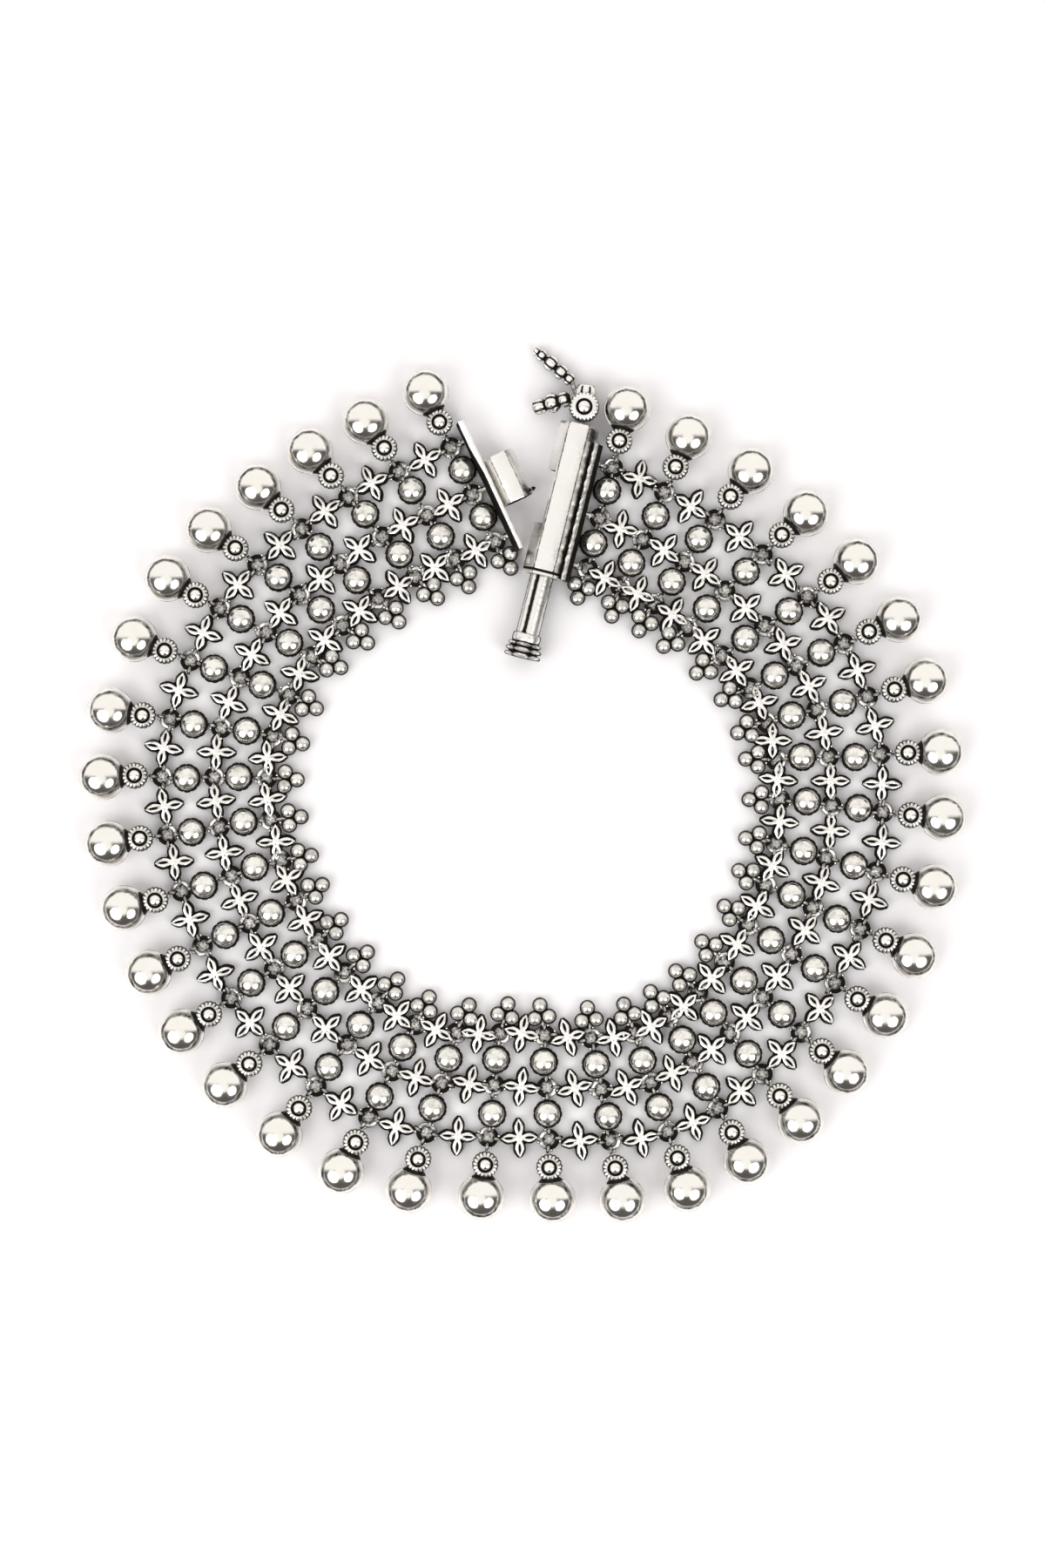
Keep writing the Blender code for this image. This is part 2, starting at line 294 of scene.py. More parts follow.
def makePiece(name, mesh, material, body, nodes, sharp=38):
    mesh.name = name
    mesh.shade_smooth()
    mesh.set_sharp_from_angle(angle=math.radians(sharp))
    mesh.materials.clear()
    mesh.materials.append(material)
    piece = bpy.data.objects.new(name, mesh)
    bpy.context.scene.collection.objects.link(piece)
    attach(piece, body)
    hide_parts(*nodes)
    mesh.calc_loop_triangles()
    counted[name] = len(mesh.loop_triangles)


# Materials. What age does to silver: black sulphide stays in the hollows with a ragged edge,
# and the proud metal gets a fine cloud of rubbing and small dents. The same black also paints
# the shade that the shapes carry along with their tarnish.

wear = {
    "blackFrom": 0.28,
    "blackTo": 0.72,
    # scale, detail and roughness of each noise
    "cloud": (420.0, 5.0, 0.6),
    "dents": (1500.0, 2.0, 0.5),
    "scratches": (2600.0, 3.0, 0.7),
    # where in the cloud the metal is smooth, and where it is hazy
    "smoothAt": 0.3,
    "hazyAt": 0.7,
    "blackRougher": 0.4,
    "blackMetallic": -0.6,
    "specular": 0.15,
    "scratchFacing": math.radians(-76),
    "scratchStretch": 0.06,
}


def addNode(tree, kind, **values):
    node = tree.nodes.new("ShaderNode" + kind)
    for name, value in values.items():
        setattr(node, name, value)
    return node


def feed(tree, value, socket):
    # A constant is set on the socket and another node's output is linked to it
    if isinstance(value, bpy.types.NodeSocket):
        tree.links.new(value, socket)
    else:
        socket.default_value = value


def mathNode(tree, operation, *values):
    node = addNode(tree, "Math", operation=operation)
    for socket, value in zip(node.inputs, values):
        feed(tree, value, socket)
    return node.outputs[0]


def noiseNode(tree, coordinates, scale, detail=3.0, roughness=0.55):
    node = addNode(tree, "TexNoise")
    feed(tree, coordinates, node.inputs["Vector"])
    feed(tree, scale, node.inputs["Scale"])
    feed(tree, detail, node.inputs["Detail"])
    feed(tree, roughness, node.inputs["Roughness"])
    return node.outputs[0]


def rangeNode(tree, value, low, high, first=0.0, last=1.0, kind="SMOOTHSTEP"):
    # First at the low value and last at the high one
    node = addNode(tree, "MapRange", interpolation_type=kind)
    feed(tree, value, node.inputs["Value"])
    feed(tree, low, node.inputs["From Min"])
    feed(tree, high, node.inputs["From Max"])
    feed(tree, first, node.inputs["To Min"])
    feed(tree, last, node.inputs["To Max"])
    return node.outputs[0]


def mixNode(tree, factor, first, second):
    # Colours are three numbers or another node's output
    node = addNode(tree, "Mix", data_type="RGBA")
    feed(tree, factor, node.inputs[0])
    for value, socket in ((first, node.inputs[6]), (second, node.inputs[7])):
        feed(tree, (*value, 1) if isinstance(value, tuple) else value, socket)
    return node.outputs[2]


def makeWearAndShadeGroup():
    group = bpy.data.node_groups.new("silverWearAndShade", "ShaderNodeTree")
    face = group.interface
    for name, value in (("TarnishAndShade", 0.0), ("Ragged", 0.4), ("Grain", 2600.0)):
        socket = face.new_socket(name, in_out="INPUT", socket_type="NodeSocketFloat")
        socket.default_value = value
    for name in ("Dark", "Cloud", "Height"):
        face.new_socket(name, in_out="OUTPUT", socket_type="NodeSocketFloat")
    start = group.nodes.new("NodeGroupInput")
    end = group.nodes.new("NodeGroupOutput")
    place = addNode(group, "TexCoord").outputs["Object"]
    ragged = noiseNode(group, place, start.outputs["Grain"], 4.0, 0.5)
    swing = mathNode(group, "SUBTRACT", ragged, 0.5)
    swing = mathNode(group, "MULTIPLY", swing, start.outputs["Ragged"])
    level = mathNode(group, "ADD", start.outputs["TarnishAndShade"], swing)
    black = rangeNode(group, level, wear["blackFrom"], wear["blackTo"])
    group.links.new(black, end.inputs["Dark"])
    group.links.new(noiseNode(group, place, *wear["cloud"]), end.inputs["Cloud"])
    group.links.new(noiseNode(group, place, *wear["dents"]), end.inputs["Height"])
    return group


def makeSilver(name, look):
    material = bpy.data.materials.new(name)
    material.use_nodes = True
    tree = material.node_tree
    tree.nodes.clear()
    output = addNode(tree, "OutputMaterial")
    shader = addNode(tree, "BsdfPrincipled")
    tree.links.new(shader.outputs[0], output.inputs["Surface"])
    tarnishAndShade = addNode(tree, "Attribute", attribute_name="tarnishAndShade")
    agedAndShaded = addNode(tree, "Group")
    agedAndShaded.node_tree = wearAndShadeGroup
    agedAndShaded.inputs["Ragged"].default_value = look["ragged"]
    agedAndShaded.inputs["Grain"].default_value = look["grain"]
    tree.links.new(tarnishAndShade.outputs["Fac"], agedAndShaded.inputs["TarnishAndShade"])
    black, cloud, height = (agedAndShaded.outputs[name] for name in ("Dark", "Cloud", "Height"))

    metal = mixNode(tree, cloud, look["bright"], look["dull"])
    tree.links.new(mixNode(tree, black, metal, look["black"]), shader.inputs["Base Color"])

    rough = rangeNode(tree, cloud, wear["smoothAt"], wear["hazyAt"], *look["roughness"], "LINEAR")
    rough = mathNode(tree, "MULTIPLY_ADD", black, wear["blackRougher"], rough)
    tree.links.new(rough, shader.inputs["Roughness"])
    metallic = mathNode(tree, "MULTIPLY_ADD", black, wear["blackMetallic"], 1.0)
    tree.links.new(metallic, shader.inputs["Metallic"])
    shader.inputs["Specular IOR Level"].default_value = wear["specular"]

    if look["scratch"]:
        place = addNode(tree, "TexCoord").outputs["Object"]
        mapping = addNode(tree, "Mapping")
        mapping.inputs["Rotation"].default_value = (0, 0, wear["scratchFacing"])
        mapping.inputs["Scale"].default_value = (wear["scratchStretch"], 1, 1)
        tree.links.new(place, mapping.inputs["Vector"])
        lines = noiseNode(tree, mapping.outputs[0], *wear["scratches"])
        height = mathNode(tree, "MULTIPLY_ADD", lines, look["scratch"], height)
    bump = addNode(tree, "Bump")
    bump.inputs["Strength"].default_value = look["bump"]
    bump.inputs["Distance"].default_value = look["dent"] * mm
    tree.links.new(height, bump.inputs["Height"])
    tree.links.new(bump.outputs[0], shader.inputs["Normal"])
    return material


wearAndShadeGroup = makeWearAndShadeGroup()
polished = makeSilver(
    "polishedSilver",
    {
        "bright": (0.93, 0.915, 0.875),
        "dull": (0.84, 0.82, 0.77),
        "black": (0.012, 0.009, 0.007),
        "roughness": (0.1, 0.19),
        "ragged": 0.5,
        "grain": 1100.0,
        "scratch": 0.0,
        "bump": 0.25,
        "dent": 0.05,
    },
)
oxidised = makeSilver(
    "oxidisedSilver",
    {
        "bright": (0.94, 0.925, 0.9),
        "dull": (0.8, 0.775, 0.74),
        "black": (0.011, 0.008, 0.006),
        "roughness": (0.2, 0.34),
        "ragged": 0.5,
        "grain": 3400.0,
        "scratch": 0.0,
        "bump": 0.5,
        "dent": 0.06,
    },
)
claspSilver = makeSilver(
    "claspSilver",
    {
        "bright": (0.93, 0.92, 0.9),
        "dull": (0.78, 0.76, 0.73),
        "black": (0.012, 0.009, 0.007),
        "roughness": (0.2, 0.36),
        "ragged": 0.55,
        "grain": 2200.0,
        "scratch": 0.9,
        "bump": 0.45,
        "dent": 0.06,
    },
)
print("materials ready")

# Bells: a polished ball with a seam, soldered to the side of a milled cap with a stud

bell = {
    "capFromRing": 3.65 * mm,
    "ballFromCap": 4.65,
    "radius": 3.1,
    # how full the shoulder is, where a true ball has 2, and the height against a true ball's
    "fullness": 2.15,
    "lower": 0.9,
    # how far toward the neck the solder reaches, the width of its edge, and a band of painted
    # shade, grey, below the shoulder with the heights where it starts and stops
    "crease": 0.83,
    "creaseSoft": 0.1,
    "paintedShade": 0.6,
    "paintedShadeStart": (0.42, 0.52),
    "paintedShadeStop": (0.66, 0.76),
    "rings": 26,
    "sides": 48,
    "seam": [
        (2.9, -0.09, 0.6), (3.18, -0.07, 0.3), (3.24, 0, 0.1), (3.18, 0.07, 0.3),
        (2.9, 0.09, 0.7),
    ],
    "neck": [(0, 1.2, 1.0), (1.1, 1.35, 1.0), (1.66, 1.86, 1.0), (1.72, 2.3, 1.0), (0, 2.3, 1.0)],
    "notches": 18,
    # radius, height and tarnish of the cap, from its foot to the top of its stud
    "cap": [
        (0, 1.45, 1.0), (1.15, 1.45, 1.0), (1.55, 1.7, 0.7), (1.74, 2.1, 0.3),
        (1.58, 2.55, 0.75), (1.36, 2.82, 1.0), (1.45, 3.0, 1.0), (1.76, 3.2, 0.45),
        (1.86, 3.6, 0.2), (1.84, 4.18, 0.2), (1.72, 4.5, 0.3), (1.5, 4.64, 0.38),
        (1.13, 4.64, 0.45), (1.05, 4.42, 0.8), (1.0, 4.15, 1.0), (0.85, 4.15, 1.0),
        (0.8, 4.4, 0.8), (0.76, 4.64, 0.0), (0.6, 4.8, 0.0), (0.3, 4.88, 0.0), (0, 4.92, 0.0),
    ],
    "milledRows": range(7, 12),
    "grainedRows": range(2, 5),
    "capSides": (0.1, 0.8, 0.9),
    "turned": 3,
    "tipped": 2,
}


def capRipple(number, angle):
    if number in bell["milledRows"]:
        notch = wave(bell["notches"] * angle, 3)
        fade = 1.0 if number < bell["milledRows"][-1] else 0.45
        return -0.11 * notch * fade, 0.75 * notch * fade
    if number in bell["grainedRows"]:
        grain = wave(bell["notches"] * angle)
        return -0.12 * grain, 0.5 * grain
    return 0, 0


def makeBellShape():
    cap = newShape()
    lathe(cap, bell["cap"], 4 * bell["notches"], ripple=capRipple)
    shape = newShape()
    ball = shift(bell["ballFromCap"] * mm, 0, bell["radius"] * mm)

    # The ball's poles lie along the neck, whose solder is black up to a straight edge. In
    # the ball's own directions the neck is at minus Z, and up is minus X.
    def creasedAndShaded(aim):
        # A band of painted shade circles the ball between two heights; the solder is black at the
        # neck
        paintedShade = smoothStep(*bell["paintedShadeStart"], -aim.x) * (1 - smoothStep(*bell["paintedShadeStop"], -aim.x))
        solder = 0.5 + (-aim.z - bell["crease"]) / bell["creaseSoft"]
        return max(solder, bell["paintedShade"] * paintedShade)

    def pressed(aim):
        # Two stamped halves: a little fuller at the shoulder and lower than a true ball
        power = bell["fullness"]
        flat = math.hypot(aim.y, aim.z)
        grow = (flat**power + abs(aim.x) ** power) ** (-1 / power)
        return Vector((aim.x * bell["lower"], aim.y, aim.z)) * grow

    lying = turn(90, "Y")
    bead(shape, bell["radius"], bell["rings"], bell["sides"], ball @ lying, creasedAndShaded, pressed)
    lathe(shape, bell["seam"] + bell["seam"][:1], bell["sides"], ball)
    lathe(shape, bell["neck"], 24, shift(0, 0, bell["radius"] * mm) @ lying)
    return joinMeshes([finished(cap, bell["capSides"]), finished(shape)])


def makeBells():
    whole = makeBellShape()
    for column in range(band["columns"]):
        lean = turn(sway(bell["turned"]), "Z") @ turn(sway(bell["tipped"]), "X")
        place = columnFrame(column, band["rowPitch"] + bell["capFromRing"])
        mesh = whole.copy()
        mesh.transform(place @ lean)
        number = f"{column + 1:02d}"
        makePiece(f"ghungroo_{number}", mesh, polished, "band", [f"bell_{number}"])
    print("bells made")


# Jump rings with an upright eye on each of their four sides

ring = {
    "reach": 1.19,
    "wire": 0.3,
    "height": 1.05,
    "eye": 0.5,
    "eyeWire": 0.22,
    "eyeOut": 1.3,
    "grain": 0.21,
    "grainAt": (0.15, 0.48, 0.45),
    "kinds": 4,
    # tarnish and shade of the wire: its middle, dark with patina and painted shade as the ring
    # lies low, and how much it rises and falls around the ring, a painted highlight on one side
    "stainAndShade": 0.72,
    "highlightSwing": 0.42,
    "eyeStain": 0.5,
    "wireSides": (0.4, 1.0, 0.95),
    "eyeSides": (0.3, 0.95, 0.95),
    # a dark flat disc inside the ring: painted shade standing in for the shadowed floor seen
    # through it
    "disc": [(0, -0.35, 1.0), (1.1, -0.35, 1.0), (1.1, -0.12, 0.6), (0, -0.12, 0.48)],
    "eyeStray": 9,
    "eyeTipped": 35,
    "tipped": 7,
}


def circle(radius, count, stretch=1.0):
    angles = [2 * math.pi * step / count for step in range(count)]
    return [(radius * math.cos(angle), stretch * radius * math.sin(angle), 0) for angle in angles]


def makeRingShape():
    # The ring lies low: its wire is dark with patina and painted shade, with a painted highlight
    # along one side only, and its eyes are bright on their crests only
    turns = 24
    start = dice.uniform(0, 2 * math.pi)
    stainsAndShade = []
    for step in range(turns):
        angle = start + 2 * math.pi * step / turns
        stainsAndShade.append(ring["stainAndShade"] + ring["highlightSwing"] * math.sin(angle))
    wire = newShape()
    sweep(wire, circle(ring["reach"], turns), ring["wire"], 8, stainsAndShade)
    lathe(wire, ring["disc"], 16)
    eyes = newShape()
    for quarter in range(4):
        spot = turn(90 * quarter + sway(ring["eyeStray"]), "Z") @ shift(ring["eyeOut"] * mm)
        upright = spot @ turn(sway(ring["eyeTipped"]), "Y") @ turn(90, "X")
        sweep(eyes, circle(ring["eye"], 14), ring["eyeWire"], 7, ring["eyeStain"], upright)
        side = dice.choice((-1, 1))
        x, y, z = ring["grainAt"]
        bead(eyes, ring["grain"], 6, 9, spot @ shift(x * mm, side * y * mm, z * mm))
    return joinMeshes([finished(wire, ring["wireSides"]), finished(eyes, ring["eyeSides"])])


# Flowers: four slotted leaves on a slightly larger leaf plate

flower = {
    "petal": 2.66,
    "halfWidth": 0.65,
    "flange": 1.15,
    "flangeLonger": 0.16,
    "flangeWider": 0.15,
    "droop": 0.22,
    "top": 2.0,
    "foot": 1.28,
    "slotFloor": 1.5,
    "slotFrom": 0.37,
    "slotTo": 0.8,
    "slotSoft": 0.05,
    "lipBelow": 0.04,
    "lipSinks": 0.1,
    "lipStain": 0.35,
    "floorBelow": 0.06,
    "footStain": 0.7,
    # across one leaf: share of the half width, and how high between foot 0 and top 1. The
    # last two are the slot's lip and floor, which sink where the slot is open.
    "across": [(1, 0), (1, 0.6), (0.92, 0.9), (0.66, 1), (0.34, 0.98), (0.22, 0.86), (0.14, 0)],
    # across the flange: share of its half width, height and added darkness
    "flangeAcross": [
        (1, 0.95, 0), (1, 1.16, 0), (0.8, 1.2, 0.2), (-0.8, 1.2, 0.2), (-1, 1.16, 0),
        (-1, 0.95, 0),
    ],
    "leafRows": 13,
    "flangeRows": 8,
    "heart": [(0, 1.0, 1.0), (1.3, 1.0, 1.0), (1.3, 1.22, 1.0), (0, 1.24, 1.0)],
    "boss": [(0, 1.3, 0.0), (0.62, 1.35, 0.0), (0.6, 1.88, 0.0), (0.4, 1.98, 0.0), (0, 2.02, 0.0)],
    "sides": (0.1, 0.62, 0.95),
    # the most that the leaves along the chain keep of their length, and the gap that they
    # leave where the columns are closest
    "longest": 0.95,
    "apart": 0.35,
    "turned": 12,
    "tipped": (8, 7),
}


def leafWidth(share):
    # Narrow at the heart, widest just past the middle, then down to a blunt tip
    belly = math.sin(math.pi * (0.1 + 0.9 * share**1.35)) ** 0.85
    return max(0.13, belly)


def addLeaf(shape, place, length):
    top, foot, soft = flower["top"], flower["foot"], flower["slotSoft"]
    lip, floor = len(flower["across"]) - 2, len(flower["across"]) - 1
    outlines = []
    for share in steps(0, 1, flower["leafRows"]):
        wide = flower["halfWidth"] * leafWidth(share)
        opening = smoothStep(-soft, soft, share - flower["slotFrom"])
        opening *= smoothStep(-soft, soft, flower["slotTo"] - share)
        half = []
        for number, (reach, lift) in enumerate(flower["across"]):
            height = foot + (top - foot) * lift
            stainAndShade = 0.0 if number else flower["footStain"]
            if number == lip:
                height = top - flower["lipBelow"] - flower["lipSinks"] * opening
                stainAndShade = flower["lipStain"] * opening
            if number == floor:
                closed = top - flower["floorBelow"]
                height = closed - (closed - flower["slotFloor"]) * opening
                stainAndShade = opening
            half.append((share * length, reach * wide, height - flower["droop"] * share**2, stainAndShade))
        outlines.append(half + [(x, -y, z, stainAndShade) for x, y, z, stainAndShade in half[::-1]])
    addBar(shape, outlines, place)


# The plate under the leaves is black: partly patina, partly painted shade around the leaves
def addFlange(shape, place, length):
    outlines = []
    for share in steps(0, 1, flower["flangeRows"]):
        along = share * (length + flower["flangeLonger"])
        wide = flower["flange"] * flower["halfWidth"] * leafWidth(share) + flower["flangeWider"]
        droop = flower["droop"] * share**2
        stainAndShade = 1 - 0.15 * smoothStep(0.5, 0.8, share)
        outline = []
        for side, height, more in flower["flangeAcross"]:
            outline.append((along, side * wide, height - droop, stainAndShade + more))
        outlines.append(outline)
    addBar(shape, outlines, place)


def makeFlowerShape(squeeze):
    # Squeeze shortens the two leaves that lie along the chain
    shape = newShape()
    for quarter in range(4):
        place = turn(90 * quarter, "Z")
        length = flower["petal"] * (squeeze if quarter % 2 else 1)
        addLeaf(shape, place, length)
        addFlange(shape, place, length)
    lathe(shape, flower["heart"], 16)
    lathe(shape, flower["boss"], 12)
    return finished(shape, flower["sides"])


# Domed beads in petal cups

dome = {
    "fromRing": 3.5 * mm,
    "radius": 1.78,
    "lower": 0.82,
    "middle": 1.98,
    "dulled": 0.36,
    "petals": 11,
    "cup": [
        (0, 0.1, 1.0), (1.1, 0.1, 1.0), (1.5, 0.35, 1.0), (1.88, 0.7, 1.0), (2.02, 1.2, 0.9),
        (2.05, 1.55, 0.7), (2.0, 1.78, 0.6), (1.88, 1.84, 1.0), (1.7, 1.74, 1.0),
        (0, 1.74, 1.0),
    ],
    "petalRows": range(2, 8),
    "cupSides": (-0.2, 0.3, 0.9),
    "tipped": 4,
    "strayed": (0.2, 0.25),
}


def cupRipple(number, angle):
    if number in dome["petalRows"]:
        notch = wave(dome["petals"] * angle, 4)
        return -0.12 * notch, 0.9 * notch
    return 0, 0


def makeDomeShape():
    # The cup is black: patina, and painted shade round the dome's foot
    cup = newShape()
    lathe(cup, dome["cup"], 7 * dome["petals"], ripple=cupRipple)

    # Darker toward the foot: patina where the dome sits in its cup, painted shade higher up its side;
    # the rest is evenly dull
    def dulledAndShadedBelow(aim):
        return max(dome["dulled"], 1 - smoothStep(0.05, 0.65, aim.z))

    shape = newShape()
    middle = shift(0, 0, dome["middle"] * mm) @ Matrix.Diagonal((1, 1, dome["lower"], 1))
    bead(shape, dome["radius"], 20, 36, middle, dulledAndShadedBelow)
    return joinMeshes([finished(cup, dome["cupSides"]), finished(shape)])


# Granules: two abreast and one at the tip, on the inner side of the inner chain

granule = {
    "fromRing": 2.6,
    "radius": 1.0,
    "swollen": 1.1,
    "height": 1.25,
    "dulled": 0.42,
    # the black filling between the three, how far past the first two its middle is, and the
    # eye that holds them to the ring
    "filling": [(0, 0.4, 1.0), (1.15, 0.4, 1.0), (1.1, 1.35, 1.0), (0, 1.5, 1.0)],
    "fillingPast": 0.55,
    "eye": 0.5,
    "eyeWire": 0.2,
    "eyeAt": 1.75,
    "eyeStain": 0.4,
    "sides": (0.3, 0.88, 0.95),
    "turned": 8,
}


def makeGranuleShape():
    shape = newShape()
    radius, start = granule["radius"], granule["fromRing"]
    tip = start + 2 * radius * math.sin(math.radians(60))
    centres = [Vector((-start, radius, 0)), Vector((-start, -radius, 0)), Vector((-tip, 0, 0))]
    for centre in centres:
        others = [other for other in centres if other != centre]

        # Each ball: black patina in the creases, painted shade on its lower half, evenly dull
        # elsewhere
        def creasedAndShadedBelow(aim, centre=centre, others=others):
            nearest = min((centre + aim * radius - other).length - radius for other in others)
            hollow = 1 - smoothStep(0.1, 0.7, nearest)
            return max(hollow, granule["dulled"], 1 - smoothStep(-0.1, 0.5, aim.z))

        spot = centre + Vector((0, 0, granule["height"]))
        bead(shape, granule["swollen"] * radius, 12, 22, shift(*(spot * mm)), creasedAndShadedBelow)
    lathe(shape, granule["filling"], 16, shift(-(start + granule["fillingPast"]) * mm))
    upright = shift(-granule["eyeAt"] * mm, 0, granule["height"] * mm) @ turn(90, "X")
    sweep(shape, circle(granule["eye"], 12), granule["eyeWire"], 6, granule["eyeStain"], upright)
    return finished(shape, granule["sides"])


# Chains

chains = {
    "outer_chain": {"row": 1, "hangs": "domes"},
    "middle_chain": {"row": 0, "hangs": "domes"},
    "inner_chain": {"row": -1, "hangs": "granules"},
}


def makeChain(name, hangs, row):
    outward = row * band["rowPitch"]
    columns = range(band["columns"])
    rowName = name.split("_")[0]

    kinds = []
    for kind in range(ring["kinds"]):
        places = []
        for column in columns[kind :: ring["kinds"]]:
            lean = turn(sway(ring["tipped"]), "X") @ turn(sway(ring["tipped"]), "Y")
            places.append(columnFrame(column, outward, ring["height"] * mm) @ lean)
        kinds.append(copies(makeRingShape(), places))
    rings = joinMeshes(kinds)
    makePiece(f"{rowName}_rings", rings, oxidised, "band", [name])

    places = []
    narrowest = min(pitchAt(column + 0.5, outward) for column in columns[:-1])
    squeeze = min(flower["longest"], (narrowest / mm - flower["apart"]) / (2 * flower["petal"]))
    along, across = flower["tipped"]
    for column in columns[:-1]:
        lean = turn(sway(flower["turned"]), "Z") @ turn(sway(along), "X") @ turn(sway(across), "Y")
        places.append(columnFrame(column + 0.5, outward) @ lean)
    flowers = copies(makeFlowerShape(squeeze), places)
    makePiece(f"{rowName}_flowers", flowers, oxidised, "band", [name], 50)

    places = []
    for column in columns:
        if hangs == "domes":
            lean = turn(dice.uniform(0, 360), "Z") @ turn(sway(dome["tipped"]), "X")
            out, along = dome["strayed"]
            strayed = shift(sway(out) * mm, sway(along) * mm)
            places.append(columnFrame(column, outward - dome["fromRing"]) @ strayed @ lean)
        else:
            places.append(columnFrame(column, outward) @ turn(sway(granule["turned"]), "Z"))
    hanging = makeDomeShape() if hangs == "domes" else makeGranuleShape()
    hung = copies(hanging, places)
    makePiece(f"{rowName}_{hangs}", hung, polished, "band", [name], 50)
    print(name, "made")


# The clasp. The end plates stand beside the first and last column, and its pieces lie along
# X of their own frames.

clasp = {
    "plateAcross": 2.85,
    "plateLength": 19.6,
    "plateThick": 0.9,
    "plateHigh": 4.8,
    "plateLedge": 0.82,
    "height": 2.75,
    "tubeFlats": 5.1,
    "tubeInside": 4.4,
    "tubeLength": 21.9,
    "tubeOffset": 1.0,
    "knuckleFlats": 4.2,
    "knuckleLength": 7.0,
    "bore": 1.85,
    "solder": 0.3,
    "windowLength": 7.6,
    "windowHigh": 4.3,
    "endWall": 0.35,
    "soften": 0.32,
    # the middle points of a barrel's two upper corners
    "upperCorners": (4, 7),
    # distance from the tube's mouth or its closed end, flats and tarnish, the flats of the
    # mouth's collar as a difference from the tube's own
    "mouth": [
        (0, 0.02, 0.1), (0.1, 0.24, 0.0), (0.42, 0.24, 0.0), (0.5, -0.05, 1.0),
        (0.8, -0.05, 1.0), (0.86, 0, 0.2),
    ],
    "closedEnd": [(-0.3, 5.06, 0.2), (-0.05, 4.8, 0.5), (0, 3.6, 0.6), (0, 0, 0.6)],
    "spur": [(0, 0, 1.0), (0.3, 0, 1.0), (0.24, 0.35, 1.0), (0, 0.6, 1.0)],
    # the eyes that join a plate to the three chains: radius, stretch, wire, distance, tarnish
    "hook": (0.62, 1.5, 0.24, 1.95, 0.35),
}


def acrossCorners(flats):
    return flats / math.cos(math.radians(30))


def barrelFrame(flats, side):
    across = clasp["plateAcross"] + (acrossCorners(flats) + clasp["plateThick"]) / 2 - clasp["solder"]
    return shift(0, side * across * mm, clasp["height"] * mm)


knuckleFrame = columnFrame(0) @ barrelFrame(clasp["knuckleFlats"], -1)
tubeFrame = (
    columnFrame(band["columns"] - 1)
    @ barrelFrame(clasp["tubeFlats"], 1)
    @ shift(clasp["tubeOffset"] * mm)
)


def hexagon(flats, soften):
    # Six corners with a small round on each, as (y, z) pairs. A side is as long as the reach.
    reach = acrossCorners(flats) / 2
    points = []
    for corner in range(6):
        here, before, after = (
            Vector((math.cos(math.radians(60 * step)), math.sin(math.radians(60 * step)))) * reach
            for step in (corner, corner - 1, corner + 1)
        )
        start = here + (before - here) * soften / reach
        stop = here + (after - here) * soften / reach
        points += [start, (start + stop + here * 2) / 4, stop]
    return points


def addBarrel(shape, rows, wobble, seed, lines):
    # Rows of x, flats and tarnish in millimetres: a six-sided skin that follows them. Wobble
    # is how uneven it is and lines the tarnish in the middle of its upper corners.
    rings = []
    for x, flats, tarnishAndShade in rows:
        spots = hexagon(flats, min(clasp["soften"], flats / 12)) if flats else [(0, 0)]
        ring = []
        for number, (y, z) in enumerate(spots):
            rough = noise.noise_vector(Vector((x * 0.9, y * 1.3 + seed, z * 1.3))) * wobble
            stainAndShade = max(tarnishAndShade, lines if number in clasp["upperCorners"] else 0)
            ring.append(addVert(shape, Vector((x, y + rough.y, z + rough.z)) * mm, stainAndShade))
        rings.append(ring)
    bridge(shape, rings)
    return rings


def applyCut(mesh, block):
    # The mesh with a block, given as its low and high corner in millimetres, cut out of it
    work = bmesh.new()
    low, high = Vector(block[0]) * mm, Vector(block[1]) * mm
    size = high - low
    place = shift(*(low + size / 2)) @ Matrix.Diagonal((*size, 1))
    bmesh.ops.create_cube(work, size=1, matrix=place)
    cutter = bpy.data.meshes.new("cutter")
    work.to_mesh(cutter)
    work.free()
    body = bpy.data.objects.new("body", mesh)
    tool = bpy.data.objects.new("tool", cutter)
    for item in (body, tool):
        bpy.context.scene.collection.objects.link(item)
    cut = body.modifiers.new("cut", "BOOLEAN")
    cut.operation = "DIFFERENCE"
    cut.object = tool
    graph = bpy.context.evaluated_depsgraph_get()
    result = bpy.data.meshes.new_from_object(body.evaluated_get(graph))
    for item in (body, tool):
        bpy.data.objects.remove(item)
    return result


